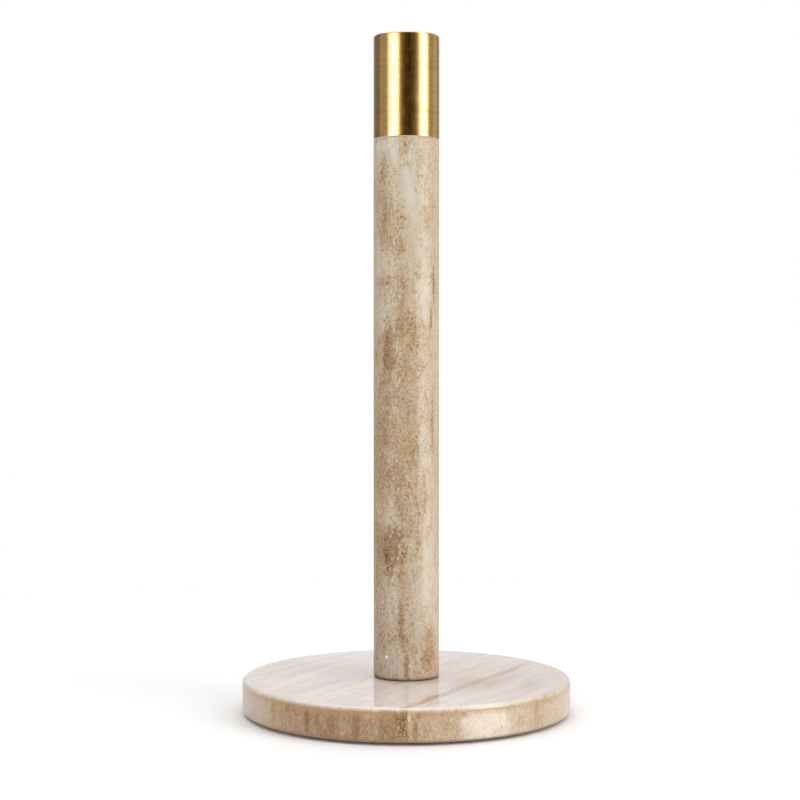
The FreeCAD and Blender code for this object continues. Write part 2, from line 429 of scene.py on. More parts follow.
def stone_column():
    m, t, b = material("polished_stone_post")
    p = place(t)
    x, y, z = t.split(p)
    sz = t.vec(around(t, x, y, 15.0), z, 0.0)
    warp = t.noise(t.vmath("MULTIPLY", p, (0.08, 0.08, 0.04)), 1.0, 2.0, 0.5, colour=True)
    q = t.vmath("ADD", p, t.vmath("MULTIPLY", t.vmath("SUBTRACT", warp, (0.5, 0.5, 0.5)), (6.0, 6.0, 8.0)))
    cloud = t.noise(t.vmath("MULTIPLY", q, (0.11, 0.11, 0.050)), 1.0, 3.0, 0.6)
    blotch = t.noise(t.vmath("MULTIPLY", q, (0.36, 0.36, 0.17)), 1.0, 3.0, 0.6)
    streak = t.noise(t.vmath("MULTIPLY", q, (1.3, 1.3, 0.10)), 1.0, 2.0, 0.6)
    grain = t.noise(t.vmath("MULTIPLY", p, (1.15, 1.15, 0.95)), 1.0, 2.2, 0.68)
    speck = t.noise(t.vmath("MULTIPLY", p, (1.05, 1.05, 0.90)), 1.0, 1.5, 0.7)
    cell = t.split(t.voronoi(t.vmath("MULTIPLY", p, (1.0, 1.0, 0.8)), 1.25, out="Color"))[0]
    ragged = t.noise(t.vmath("MULTIPLY", p, (0.9, 0.9, 0.55)), 1.0, 3.0, 0.6)
    wob = t.math("MULTIPLY_ADD", t.sub(ragged, 0.5), 2.1, t.mul(t.sub(blotch, 0.5), 2.6))
    # brown where iron has gone in, pale where it has not: (arc, height, half width, half height, weight). The first
    # three, which run the post's whole height, are painted shade on the left and painted light on the right, not stone
    # colour.
    tone = patches(
        t,
        sz,
        (
            (-9.0, 130.0, 7.0, 110.0, 0.08),
            (-17.0, 62.0, 8.0, 96.0, 0.09),
            (17.0, 130.0, 9.0, 160.0, -0.06),
            (3.6, 228.0, 5.0, 38.0, -0.10),
            (1.0, 130.0, 7.0, 90.0, 0.03),
            (3.0, 40.0, 5.0, 24.0, -0.05),
            (-5.8, 255.5, 3.4, 5.0, -0.18),
            (-12.5, 258.0, 4.5, 3.5, -0.18),
            (1.3, 239.0, 2.8, 12.0, -0.15),
            (8.5, 189.5, 4.0, 8.0, -0.16),
            (-11.0, 205.0, 5.0, 6.5, -0.12),
            (-11.0, 183.5, 5.5, 9.5, -0.16),
            (7.0, 131.0, 1.8, 27.0, -0.11),
            (11.0, 109.0, 2.4, 5.0, -0.14),
            (-10.5, 91.0, 5.6, 8.0, -0.10),
            (-9.0, 52.0, 5.6, 11.0, -0.11),
            (-7.0, 24.0, 7.5, 7.5, -0.13),
            (10.6, 62.0, 5.0, 22.0, -0.15),
            (-10.6, 248.0, 2.2, 6.0, 0.11),
            (-7.6, 222.0, 7.0, 12.0, 0.06),
            (-10.0, 227.0, 2.6, 4.0, 0.05),
            (-2.5, 183.0, 3.2, 12.0, 0.09),
            (-8.2, 166.0, 3.2, 11.0, 0.25),
            (1.6, 168.0, 5.5, 10.0, 0.04),
            (-8.0, 130.0, 3.2, 7.5, 0.07),
            (-5.0, 106.0, 4.5, 6.0, 0.08),
            (-6.6, 76.0, 4.4, 10.0, 0.27),
            (-10.0, 72.6, 1.0, 1.5, 0.16),
            (-8.2, 66.0, 3.0, 3.6, 0.16),
            (-2.1, 57.0, 1.6, 24.0, 0.08),
            (6.1, 79.0, 1.8, 23.0, 0.08),
            (0.1, 23.0, 1.1, 6.5, 0.20),
            (6.0, 252.0, 1.6, 5.0, 0.12),
            (10.0, 222.0, 2.0, 3.0, 0.13),
            (7.0, 214.0, 1.5, 2.0, 0.14),
            (-3.0, 212.0, 2.6, 3.5, 0.12),
            (3.0, 176.0, 1.6, 6.0, 0.10),
            (-10.5, 172.5, 1.8, 3.0, 0.12),
            (8.0, 158.0, 2.2, 3.0, 0.10),
            (-7.0, 143.0, 3.0, 3.0, 0.08),
            (3.5, 120.0, 3.0, 6.0, 0.08),
            (-1.0, 33.0, 2.0, 4.0, 0.12),
            (-2.6, 45.0, 1.3, 9.0, 0.12),
            (8.6, 100.0, 1.2, 10.0, 0.10),
            (-3.2, 96.0, 2.2, 6.0, 0.08),
            (11.0, 31.0, 4.0, 9.0, 0.19),
            (14.4, 195.4, 0.8, 8.0, 0.24),
            (12.5, 179.0, 0.7, 5.8, 0.24),
            (13.6, 132.0, 1.0, 13.0, 0.15),
        ),
        wob,
        0.435,
        0.85,
    )
    back = t.step(y, -3.0, 9.0)
    tone = t.math("MULTIPLY_ADD", t.sub(cloud, 0.5), t.linear(back, 0.0, 1.0, 0.28, 0.85), tone)
    tone = t.math("MULTIPLY_ADD", t.sub(blotch, 0.5), t.linear(back, 0.0, 1.0, 0.26, 0.40), tone)
    calm = tone
    # the darker the stone, the coarser its mottling
    tone = t.math("MULTIPLY_ADD", t.sub(grain, 0.5), t.linear(calm, 0.25, 0.65, 0.40, 0.94), tone)
    tone = t.math("MULTIPLY_ADD", t.sub(cell, 0.5), t.linear(calm, 0.3, 0.6, 0.04, 0.12), tone)
    tone = t.math("MULTIPLY_ADD", t.sub(streak, 0.5), 0.22, tone)
    foot = t.step(z, col_z0 + 1.6, col_z0 + 0.1, 0.0, 0.40)
    tone = t.add(tone, foot)
    stops = (0.00, 0.20, 0.38, 0.52, 0.66, 0.82, 1.00)
    cool = ((226, 219, 206), (214, 203, 184), (201, 184, 158), (186, 162, 130), (166, 137, 100), (138, 107, 70), (98, 73, 46))
    warm = ((242, 229, 208), (228, 211, 187), (213, 191, 161), (194, 166, 129), (173, 140, 100), (141, 107, 69), (100, 74, 47))
    col = t.ramp(tone, [(k, albedo(*c, 0.83)) for k, c in zip(stops, cool)])
    col = t.mix(t.step(t.add(t.split(sz)[0], t.mul(t.sub(cloud, 0.5), 14.0)), 3.0, 12.0), col, t.ramp(tone, [(k, albedo(*c, 0.805)) for k, c in zip(stops, warm)]))
    rust = t.mul(t.step(speck, 0.565, 0.64), t.step(calm, 0.36, 0.58))
    col = t.mix(t.mul(rust, 0.55), col, albedo(170, 126, 70))
    # round rust spots of two sizes, closer together where the stone is brown
    for size, share, reach, deep, colour in ((0.62, 0.85, 0.50, 0.78, (160, 110, 50)), (1.05, 0.79, 0.48, 0.62, (134, 92, 50))):
        nd = t.node("ShaderNodeTexVoronoi", {"Vector": t.vmath("MULTIPLY", q, (1.0, 1.0, 0.85)), "Scale": size, "Randomness": 1.0}, feature="F1", voronoi_dimensions="3D")
        pick = t.math("MULTIPLY_ADD", t.sub(calm, 0.45), 1.3, t.split(nd.outputs["Color"])[1])
        dots = t.mul(t.step(nd.outputs["Distance"], reach, reach * 0.55), t.step(pick, share - 0.05, share + 0.10))
        col = t.mix(t.mul(dots, deep), col, albedo(*colour))
    chalk = t.mul(t.step(speck, 0.43, 0.36), t.step(calm, 0.62, 0.40))
    col = t.mix(t.mul(chalk, 0.30), col, albedo(228, 220, 206))
    # the stone drifts between grey and orange as well as between light and dark
    hue = t.noise(t.vmath("MULTIPLY", t.vmath("ADD", p, (31.0, 7.0, 13.0)), (0.42, 0.42, 0.26)), 1.0, 2.0, 0.50)
    hue = t.math("MULTIPLY_ADD", t.sub(calm, 0.45), 0.48, hue)
    hue = t.math("MULTIPLY_ADD", t.step(t.split(sz)[0], -13.0, 1.0), 0.105, t.sub(hue, 0.085))
    cast = t.ramp(hue, [(0.34, (0.962, 1.000, 1.062)), (0.50, (1.0, 1.0, 1.0)), (0.66, (1.034, 0.990, 0.915))])
    col = t.mix(1.0, col, cast, "MULTIPLY")
    # two greyer patches on the left near the foot
    ash = t.math("MAXIMUM", spot(t, sz, -8.8, 51.0, 5.4, 9.0, wob, 0.8), spot(t, sz, -7.0, 22.5, 7.0, 5.5, wob, 0.8))
    col = t.mix(t.mul(ash, 0.85), col, t.mix(1.0, col, (0.995, 1.010, 1.095), "MULTIPLY"))
    pit = t.mul(spot(t, sz, -9.6, 26.9, 0.75, 0.85, 0.0, 0.2), 1.0)
    col = t.mix(pit, col, srgb(242, 238, 230))
    pit2 = spot(t, sz, 1.5, 23.2, 0.35, 0.6, 0.0, 0.4)
    col = t.mix(t.mul(pit2, 0.7), col, srgb(232, 226, 212))
    t.put(b.inputs["Base Color"], col)
    t.put(b.inputs["Roughness"], t.linear(grain, 0.3, 0.7, 0.34, 0.46))
    b.inputs["IOR"].default_value = 1.5
    b.inputs["Subsurface Weight"].default_value = 0.06
    b.inputs["Subsurface Radius"].default_value = (1.0, 0.7, 0.45)
    b.inputs["Subsurface Scale"].default_value = 0.0012
    t.put(b.inputs["Normal"], t.bump(t.add(grain, t.mul(cell, 0.3)), 0.16, 0.00010))
    return m


def stone_base():
    m, t, b = material("polished_stone_base")
    p = place(t)
    x, y, z = t.split(p)
    rad = t.math("SQRT", t.add(t.mul(x, x), t.mul(y, y)))
    sz = t.vec(around(t, x, y, 75.0), z, 0.0)
    warp = t.noise(t.vmath("MULTIPLY", p, (0.02, 0.02, 0.0)), 1.0, 2.0, 0.5, colour=True)
    wx, wy, wz = t.split(warp)
    c, s = math.cos(VEIN), math.sin(VEIN)
    u = t.sub(t.mul(x, s), t.mul(y, c))
    v = t.add(t.mul(x, c), t.mul(y, s))
    uw = t.add(u, t.mul(t.sub(wx, 0.5), 9.0))
    q = t.vec(uw, v, z)
    band = t.noise(t.vmath("MULTIPLY", q, (0.20, 0.020, 0.02)), 1.0, 4.0, 0.62)
    line = t.noise(t.vmath("MULTIPLY", q, (0.90, 0.060, 0.05)), 1.0, 3.0, 0.65)
    blotch = t.noise(t.vmath("MULTIPLY", q, (0.42, 0.20, 0.16)), 1.0, 3.0, 0.6)
    grain = t.noise(t.vmath("MULTIPLY", p, (1.5, 1.5, 0.75)), 1.0, 2.5, 0.7)
    cell = t.split(t.voronoi(t.vmath("MULTIPLY", p, (1.0, 1.0, 0.6)), 1.3, out="Color"))[0]
    speck = t.noise(t.vmath("MULTIPLY", p, (1.0, 1.0, 0.7)), 1.0, 1.5, 0.7)
    wob = t.mul(t.sub(blotch, 0.5), 2.2)
    wobv = t.mul(t.sub(line, 0.5), 1.6)

    # ---- the sawn and ground rim: brown to the left of the front, cream to the right
    around01 = t.linear(around(t, x, y, 1.0), -PI, PI, 0.0, 1.0)

    def deg(a):
        return (a + 180.0) / 360.0

    # the lightest stretch of this ramp, about 21 to 33 degrees, is painted highlight where the right soft box reflects
    # in the rim; the rest is the stone's own tone round the rim
    rim_level = t.ramp(
        t.add(around01, t.mul(t.sub(blotch, 0.5), 0.012)),
        [(deg(a), grey(v)) for a, v in (
            (-180, 0.40), (-130, 0.52), (-100, 0.36), (-76, 0.32), (-60, 0.38), (-46, 0.56), (-28, 0.66), (-14, 0.60), (-5, 0.55),
            (4, 0.46), (10, 0.45), (17, 0.42), (21, 0.23), (33, 0.19), (38, 0.34), (50, 0.40), (60, 0.38), (75, 0.37),
            (110, 0.44), (150, 0.56), (180, 0.40),
        )],
    )
    side = patches(
        t,
        sz,
        (
            (-45.2, 9.5, 1.4, 6.0, 0.15),
            (-21.3, 8.0, 1.7, 7.0, 0.14),
            (-32.9, 8.5, 2.0, 4.0, 0.09),
            (-40.1, 9.0, 1.2, 3.0, 0.08),
            (-10.6, 7.2, 1.3, 4.5, 0.08),
            (-53.1, 13.0, 1.8, 2.0, 0.13),
            (-15.8, 12.6, 2.6, 1.6, -0.08),
            (-27.0, 6.0, 2.4, 2.6, -0.06),
            (-66.0, 9.5, 1.5, 6.0, 0.09),
            (-56.0, 12.5, 1.6, 2.2, 0.16),
            (-5.0, 8.5, 5.0, 10.0, 0.10),
            (-3.4, 7.5, 2.8, 6.0, 0.12),
            (-2.2, 9.5, 1.4, 9.0, 0.13),
            (-0.2, 9.0, 0.45, 9.0, 0.20),
            (-1.4, 12.6, 1.5, 2.4, 0.22),
            (-4.4, 12.8, 1.3, 1.9, 0.14),
            (-0.6, 4.6, 1.8, 2.2, 0.10),
            (3.4, 7.5, 1.4, 4.5, 0.14),
            (4.6, 13.0, 0.9, 1.8, 0.20),
            (24.5, 12.6, 1.6, 1.2, 0.14),
            (17.5, 8.0, 3.0, 2.0, 0.07),
            (63.0, 8.5, 1.8, 6.0, 0.10),
            (53.0, 7.5, 3.0, 2.4, 0.07),
            (42.4, 5.6, 0.55, 0.6, 0.26),
            (9.5, 14.9, 0.5, 0.4, 0.3),
        ),
        wob,
        rim_level,
    )
    back = t.step(y, -12.0, 14.0)
    side = t.math("MULTIPLY_ADD", t.sub(blotch, 0.5), 0.14, side)
    side = t.math("MULTIPLY_ADD", t.sub(line, 0.5), 0.12, side)
    side = t.math("MULTIPLY_ADD", t.sub(band, 0.5), t.linear(back, 0.0, 1.0, 0.20, 1.10), side)
    calm = side
    side = t.math("MULTIPLY_ADD", t.sub(grain, 0.5), 0.52, side)
    side = t.math("MULTIPLY_ADD", t.sub(cell, 0.5), 0.10, side)
    rim = t.ramp(
        side,
        [
            (0.00, albedo(250, 241, 228)),
            (0.22, albedo(230, 213, 191)),
            (0.42, albedo(203, 179, 149)),
            (0.58, albedo(178, 148, 112)),
            (0.74, albedo(155, 118, 77)),
            (0.88, albedo(128, 90, 52)),
            (1.00, albedo(96, 66, 37)),
        ],
    )
    hue = t.noise(t.vmath("MULTIPLY", t.vmath("ADD", p, (11.0, 27.0, 5.0)), (0.40, 0.40, 0.16)), 1.0, 4.0, 0.70)
    cast = t.ramp(hue, [(0.34, (0.955, 1.000, 1.075)), (0.50, (1.0, 1.0, 1.0)), (0.66, (1.045, 0.990, 0.890))])
    rim = t.mix(1.0, rim, cast, "MULTIPLY")
    pink = spot(t, sz, -92.0, 8.0, 22.0, 16.0, wob, 0.5)
    rim = t.mix(t.mul(pink, 0.60), rim, albedo(186, 165, 154))
    rust = t.mul(t.step(speck, 0.58, 0.66), t.step(calm, 0.30, 0.6))
    rim = t.mix(t.mul(rust, 0.45), rim, albedo(152, 104, 62))
    body = t.mul(t.step(t.math("MULTIPLY_ADD", t.sub(blotch, 0.5), 3.0, z), base_z1 - 3.6, base_z1 - 7.0), spot(t, sz, -30.0, 8.0, 34.0, 20.0, wob, 0.4))
    rim = t.mix(body, rim, t.mix(1.0, rim, (0.990, 0.972, 1.012), "MULTIPLY"))
    # pale crystals that stand in the dark vein at the front
    fleck = t.voronoi(t.vmath("MULTIPLY", p, (1.0, 1.0, 0.55)), 1.9, out="Color")
    fleck = t.split(fleck)[2]
    small = t.split(t.voronoi(t.vmath("MULTIPLY", p, (1.0, 1.0, 0.8)), 3.1, out="Color"))[1]
    crystal = t.mul(t.step(small, 0.66, 0.84), spot(t, sz, -2.6, 6.6, 3.6, 6.5, wob))
    rim = t.mix(t.mul(crystal, 0.62), rim, albedo(230, 194, 138))
    green = spot(t, sz, 0.9, 12.4, 0.7, 1.7, t.mul(wob, 0.3))
    rim = t.mix(t.mul(green, 0.85), rim, albedo(224, 222, 204))
    # painted highlight: a pale, sparkling patch on the rim to the right, where the right soft box's reflection falls,
    # painted into the colour
    clear = spot(t, sz, 33.2, 8.4, 9.2, 6.0, t.math("MULTIPLY_ADD", t.sub(fleck, 0.5), 0.35, wob), 0.14)
    rim = t.mix(t.mul(clear, t.linear(t.add(t.mul(fleck, 0.5), t.mul(small, 0.5)), 0.15, 0.85, 0.02, 0.80)), rim, albedo(250, 238, 222))
    # under the upper edge: a cream band painted along the rounded edge as painted highlight, then an orange band below
    # it
    up = t.math("MULTIPLY_ADD", t.sub(blotch, 0.5), 1.6, z)
    orange = t.mul(t.step(up, base_z1 - 5.4, base_z1 - 2.4), t.step(up, base_z1 - 1.0, base_z1 - 2.6))
    gold = spot(t, sz, -30.0, 8.0, 30.0, 20.0, wob, 0.4)
    rim = t.mix(t.mul(orange, t.linear(gold, 0.0, 1.0, 0.40, 0.62)), rim, albedo(190, 143, 90))
    edge_highlight_cream = t.step(up, base_z1 - 2.4, base_z1 - 0.2)
    pale = spot(t, sz, -18.0, 14.0, 40.0, 20.0, wob, 0.5)
    rim = t.mix(t.mul(edge_highlight_cream, t.linear(line, 0.35, 0.65, 0.85, t.linear(pale, 0.0, 1.0, 0.42, 0.74))), rim, t.mix(pale, albedo(238, 225, 208), albedo(250, 243, 236)))
    # rust stains on the upper edge at the far right
    stain = t.math("MAXIMUM", spot(t, sz, 70.0, base_z1 - 1.2, 1.8, 1.3, wob), t.math("MAXIMUM", spot(t, sz, 78.8, base_z1 - 1.3, 1.5, 1.5, wob), spot(t, sz, 99.0, base_z1 - 1.8, 3.0, 1.5, wob)))
    rim = t.mix(t.mul(stain, 0.50), rim, albedo(196, 156, 104))
    # thin orange lines along the upper edge at the far left and the right
    ring = t.math("ABSOLUTE", t.sub(t.math("MULTIPLY_ADD", t.sub(blotch, 0.5), 0.8, z), base_z1 - 2.2))
    where = t.math("MAXIMUM", spot(t, sz, -76.0, 14.0, 14.0, 6.0, wob), t.mul(spot(t, sz, 38.0, 14.0, 12.0, 6.0, wob), 0.7))
    rim = t.mix(t.mul(t.mul(t.step(ring, 0.55, 0.15), where), 0.7), rim, albedo(186, 138, 84))
    low = t.step(z, base_z0 + 1.5, base_z0 + 0.5)
    rim = t.mix(t.mul(low, 0.55), rim, albedo(164, 124, 80))

    # ---- the polished top: pale, pinkish, with fine parallel lines
    top = t.math("MULTIPLY_ADD", t.sub(band, 0.5), 0.66, 0.33)
    top = t.math("MULTIPLY_ADD", t.sub(line, 0.5), 0.34, top)
    top = t.math("MULTIPLY_ADD", t.sub(blotch, 0.5), 0.30, top)
    top = t.math("MULTIPLY_ADD", t.sub(grain, 0.5), 0.38, top)
    xy = t.vec(x, y, 0.0)
    top = t.math("MULTIPLY_ADD", spot(t, xy, 0.0, -42.0, 15.0, 30.0, wob, 0.6), -0.13, top)
    top = t.math("MULTIPLY_ADD", spot(t, xy, 46.0, -8.0, 24.0, 34.0, wob, 0.8), 0.15, top)
    # two brown veins to the right of the post, both along the lines
    va = t.math("ABSOLUTE", t.sub(uw, 36.5))
    vein_a = t.mul(t.step(t.add(va, wobv), 3.4, 0.2), t.step(v, -20.0, -44.0))
    top = t.math("MULTIPLY_ADD", vein_a, 0.38, top)
    vb = t.math("ABSOLUTE", t.sub(uw, t.math("MULTIPLY_ADD", v, -0.034, 35.8)))
    vein_b = t.mul(t.step(t.add(vb, wobv), 5.0, 0.2), t.mul(t.step(v, -52.0, -24.0), t.step(v, 78.0, 44.0)))
    top = t.math("MULTIPLY_ADD", vein_b, 0.24, top)
    # painted shade: a darker brown-grey patch on the top to the right of the post's foot
    foot = spot(t, xy, 27.0, -19.0, 13.0, 17.0, t.mul(wobv, 1.5), 0.9)
    top = t.math("MULTIPLY_ADD", foot, t.linear(line, 0.35, 0.65, 0.08, 0.24), top)
    face = t.ramp(
        top,
        [
            (0.00, albedo(232, 226, 222, 0.94)),
            (0.25, albedo(222, 210, 204, 0.94)),
            (0.45, albedo(210, 193, 183, 0.94)),
            (0.65, albedo(190, 163, 143, 0.94)),
            (0.85, albedo(160, 128, 104, 0.94)),
            (1.00, albedo(132, 100, 76, 0.94)),
        ],
    )
    plain = face
    tilt = t.vec(t.sub(x, t.mul(y, 0.30)), y, 0.0)
    calcite = spot(t, tilt, -26.5, -9.0, 4.8, 10.0, t.mul(wob, 0.7), 0.9)
    face = t.mix(t.mul(calcite, 0.58), face, albedo(204, 217, 217))
    dark = t.mul(t.step(t.noise(t.vmath("MULTIPLY", q, (0.8, 0.12, 0.1)), 1.0, 1.5, 0.5), 0.46, 0.60), spot(t, tilt, -26.5, -11.0, 4.6, 8.0, 0.0, 0.9))
    face = t.mix(t.mul(dark, 0.40), face, albedo(146, 142, 140))

    topness = t.mul(t.step(z, base_z1 - 0.55, base_z1 - 0.08), t.step(rad, 75.0, 73.6))
    underness = t.mul(t.step(z, base_z0 + 0.55, base_z0 + 0.08), t.step(rad, 75.0, 73.6))
    sunk = t.step(rad, 14.2, 13.6)
    underness = t.math("MAXIMUM", underness, sunk)
    honed = t.mix(t.linear(grain, 0.35, 0.65, 0.10, 0.30), plain, albedo(168, 146, 122))
    rim = t.mix(underness, rim, honed)
    col = t.mix(topness, rim, face)
    t.put(b.inputs["Base Color"], col)
    t.put(b.inputs["Roughness"], t.add(t.linear(underness, 0.0, 1.0, 0.0, 0.28), t.add(t.linear(topness, 0.0, 1.0, 0.26, 0.055), t.mul(grain, 0.05))))
    b.inputs["IOR"].default_value = 1.5
    b.inputs["Subsurface Weight"].default_value = 0.06
    b.inputs["Subsurface Radius"].default_value = (1.0, 0.7, 0.45)
    b.inputs["Subsurface Scale"].default_value = 0.0012
    relief = t.mul(t.add(grain, t.mul(cell, 0.5)), t.linear(topness, 0.0, 1.0, 1.0, 0.03))
    t.put(b.inputs["Normal"], t.bump(relief, 0.25, 0.00012))
    return m


# =====================================================================================================
#  metals and rubber
# =====================================================================================================
def brushed_brass():
    m, t, b = material("brushed_brass")
    p = place(t)
    x, y, z = t.split(p)
    sz = t.vec(around(t, x, y, 15.07), z, 0.0)
    lines = t.noise(t.vmath("MULTIPLY", p, (0.12, 0.12, 6.0)), 1.0, 4.0, 0.7)
    hairs = t.noise(t.vmath("MULTIPLY", p, (0.55, 0.55, 3.2)), 1.0, 3.0, 0.65)
    patch = t.noise(t.vmath("MULTIPLY", p, (0.12, 0.12, 0.07)), 1.0, 4.0, 0.65)
    grit = t.noise(t.vmath("MULTIPLY", p, (1.4, 1.4, 1.4)), 1.0, 3.0, 0.7)
    col = t.mix(t.step(lines, 0.3, 0.7), (0.85, 0.535, 0.200), (0.91, 0.595, 0.243))
    col = t.mix(t.step(t.add(t.mul(patch, 0.6), t.mul(grit, 0.4)), 0.46, 0.64, 0.0, 0.35), col, (0.62, 0.33, 0.10))
    # two faint turning marks
    mark = t.math("MINIMUM", t.math("ABSOLUTE", t.sub(z, cap_z1 - 15.3)), t.math("ABSOLUTE", t.sub(z, cap_z1 - 35.5)))
    mark = t.mul(t.step(mark, 1.00, 0.10), t.step(patch, 0.34, 0.58))
    col = t.mix(t.mul(mark, 0.44), col, (0.60, 0.33, 0.11))
    stroke = t.noise(t.vmath("MULTIPLY", p, (0.10, 0.10, 0.95)), 1.0, 4.0, 0.75)
    col = t.mix(t.step(stroke, 0.46, 0.66, 0.0, 0.50), col, (0.64, 0.36, 0.12))
    fine = t.ramp(grit, [(0.36, (0.85, 0.83, 0.80)), (0.50, (0.985, 0.985, 1.00)), (0.64, (1.06, 1.07, 1.12))])
    col = t.mix(1.0, col, fine, "MULTIPLY")
    t.put(b.inputs["Base Color"], col)
    b.inputs["Metallic"].default_value = 1.0
    # a smear left by a finger
    brush = t.noise(t.vmath("MULTIPLY", p, (0.16, 0.16, 1.30)), 1.0, 3.0, 0.70)
    wob = t.mul(t.sub(t.noise(t.vmath("MULTIPLY", p, (0.5, 0.5, 0.5)), 1.0, 2.0, 0.5), 0.5), 1.0)
    smear = t.math("MAXIMUM", t.mul(spot(t, sz, 6.4, cap_z1 - 31.0, 3.2, 1.6, wob, 0.9), 0.8), t.mul(spot(t, sz, 3.4, cap_z1 - 26.0, 2.2, 8.0, wob, 0.9), 0.6))
    mottle = t.noise(t.vmath("MULTIPLY", p, (0.45, 0.45, 0.30)), 1.0, 3.0, 0.55)
    rough = t.add(t.linear(mottle, 0.32, 0.70, 0.10, 0.205), t.add(t.linear(brush, 0.30, 0.70, 0.0, 0.055), t.mul(mark, 0.03)))
    t.put(b.inputs["Roughness"], t.math("MAXIMUM", 0.07, t.math("MULTIPLY_ADD", smear, 0.07, rough)))
    b.inputs["Anisotropic"].default_value = 0.75
    b.inputs["Anisotropic Rotation"].default_value = 0.25
    tan = t.node("ShaderNodeTangent", direction_type="RADIAL", axis="Z")
    t.put(b.inputs["Tangent"], tan.outputs[0])
    reach = t.math("SQRT", t.add(t.mul(x, x), t.mul(y, y)))
    rings = t.noise(t.vec(t.mul(reach, 2.6), 0.0, 3.0), 1.0, 3.0, 0.6)
    rings = t.mul(rings, t.step(z, cap_z1 - 0.5, cap_z1 - 0.05))
    relief = t.add(t.mul(rings, 1.6), t.add(t.mul(lines, 0.4), t.add(t.mul(hairs, 0.5), t.add(t.mul(mottle, 0.12), t.mul(brush, 0.10)))))
    t.put(b.inputs["Normal"], t.bump(relief, 0.30, 0.00004))
    return m


def metal(name, colour, rough, tint=0.06, grain=0.8, lines=None):
    m, t, b = material(name)
    p = place(t)
    n1 = t.noise(t.vmath("MULTIPLY", p, (grain, grain, grain)), 1.0, 4.0, 0.6)
    n2 = t.noise(t.vmath("MULTIPLY", p, (0.2, 0.2, 0.2)), 1.0, 2.0, 0.5)
    dark = tuple(c * (1.0 - tint * 3) for c in colour)
    t.put(b.inputs["Base Color"], t.mix(t.step(t.add(t.mul(n1, 0.6), t.mul(n2, 0.4)), 0.35, 0.65), colour, dark))
    b.inputs["Metallic"].default_value = 1.0
    t.put(b.inputs["Roughness"], t.linear(n1, 0.25, 0.75, rough * 0.8, rough * 1.3))
    t.put(b.inputs["Normal"], t.bump(n1, 0.10, 0.00003))
    return m


def soft(name, colour, rough=0.75, grain=1.6, spec=0.4):
    m, t, b = material(name)
    p = place(t)
    n1 = t.noise(t.vmath("MULTIPLY", p, (grain, grain, grain)), 1.0, 4.0, 0.6)
    n2 = t.noise(t.vmath("MULTIPLY", p, (0.25, 0.25, 0.25)), 1.0, 2.0, 0.5)
    lighter = tuple(min(1.0, c * 1.35 + 0.01) for c in colour)
    t.put(b.inputs["Base Color"], t.mix(t.step(t.add(t.mul(n1, 0.5), t.mul(n2, 0.5)), 0.35, 0.68), colour, lighter))
    t.put(b.inputs["Roughness"], t.linear(n1, 0.25, 0.75, rough * 0.85, min(1.0, rough * 1.15)))
    b.inputs["Specular IOR Level"].default_value = spec
    t.put(b.inputs["Normal"], t.bump(n1, 0.25, 0.00005))
    return m


MAT = {
    "base": stone_base(),
    "column": stone_column(),
    "brass": brushed_brass(),
    "zinc": metal("zinc_plated_steel", (0.66, 0.68, 0.70), 0.28),
    "rod": metal("zinc_plated_rod", (0.62, 0.64, 0.66), 0.32),
    "spring": metal("spring_steel", (0.30, 0.30, 0.31), 0.38),
    "alu": metal("turned_aluminium", (0.78, 0.78, 0.79), 0.30),
    "black": soft("black_rubber", (0.022, 0.022, 0.022), 0.7),
    "gasket": soft("brown_gasket", (0.130, 0.075, 0.034), 0.8),
    "nylon": soft("pale_nylon", (0.66, 0.62, 0.55), 0.5),
    "foot": soft("foot_rubber", (0.30, 0.29, 0.27), 0.6),
}

# =====================================================================================================
#  the disc
# =====================================================================================================
R_BASE, EDGE = 75.0, 1.8
line = rounded(
    [
        (5.0, base_z0 + 9.5, 0),
        (13.0, base_z0 + 9.5, 0.4),
        (13.0, base_z0, 0.0),
        (R_BASE, base_z0, EDGE),
        (R_BASE, base_z1, EDGE),
        (5.0, base_z1, 0),
    ],
    8,
)
wall = []
for (r0, z0), (r1, z1) in zip(line, line[1:]):
    wall.append((r0, z0))
    long = math.hypot(r1 - r0, z1 - z0)
    if r0 > 70 and r1 > 70 and long > 2:
        n = math.ceil(long / 0.8)
    elif long > 10:
        n = 8
    else:
        n = 1
    for k in range(1, n):
        wall.append((lerp(r0, r1, k / n), lerp(z0, z1, k / n)))
wall.append(line[-1])


def base_move(r, z, a):
    if r < 60:
        return r, z
    dx, dy = math.cos(a), math.sin(a)
    wave = fbm(dx * 4.0, dy * 4.0, z * 0.06 + 2.0, 2)
    depth = 0.012 + 0.012 * max(-1.0, min(1.0, wave))
    # the ground edge isn't quite even, and is nicked here and there
    edge = max(0.0, 1.0 - min(abs(z - base_z0), abs(z - base_z1)) / 2.4) * smooth(72.0, 75.0, r)
    nick = max(0.0, fbm(dx * 55.0, dy * 55.0, z * 0.8, 2) - 0.42)
    depth += edge * (0.05 * (0.5 + 0.5 * fbm(dx * 9.0, dy * 9.0, z * 0.3 + 7.0, 2)) + min(0.25, nick * 0.55))
    pits = max(0.0, fbm(dx * 62.0, dy * 62.0, z * 0.55 + 11.0, 2) - 0.62)
    depth += min(0.12, pits * 0.5)
    nr, nz = (1.0, 0.0)
    if abs(z - base_z1) < EDGE + 0.01 or abs(z - base_z0) < EDGE + 0.01:
        cz = base_z1 - EDGE if z > (base_z0 + base_z1) / 2 else base_z0 + EDGE
        if r <= R_BASE - EDGE:
            return r, z
        vr, vz = r - (R_BASE - EDGE), z - cz
        n = math.hypot(vr, vz) or 1.0
        nr, nz = vr / n, vz / n
    return r - nr * depth, z - nz * depth


stone_disc = lathe("stone_disc", wall, 1080, move=base_move)
stone_disc.data.materials.append(MAT["base"])
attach(stone_disc, "stand")
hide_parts("base")

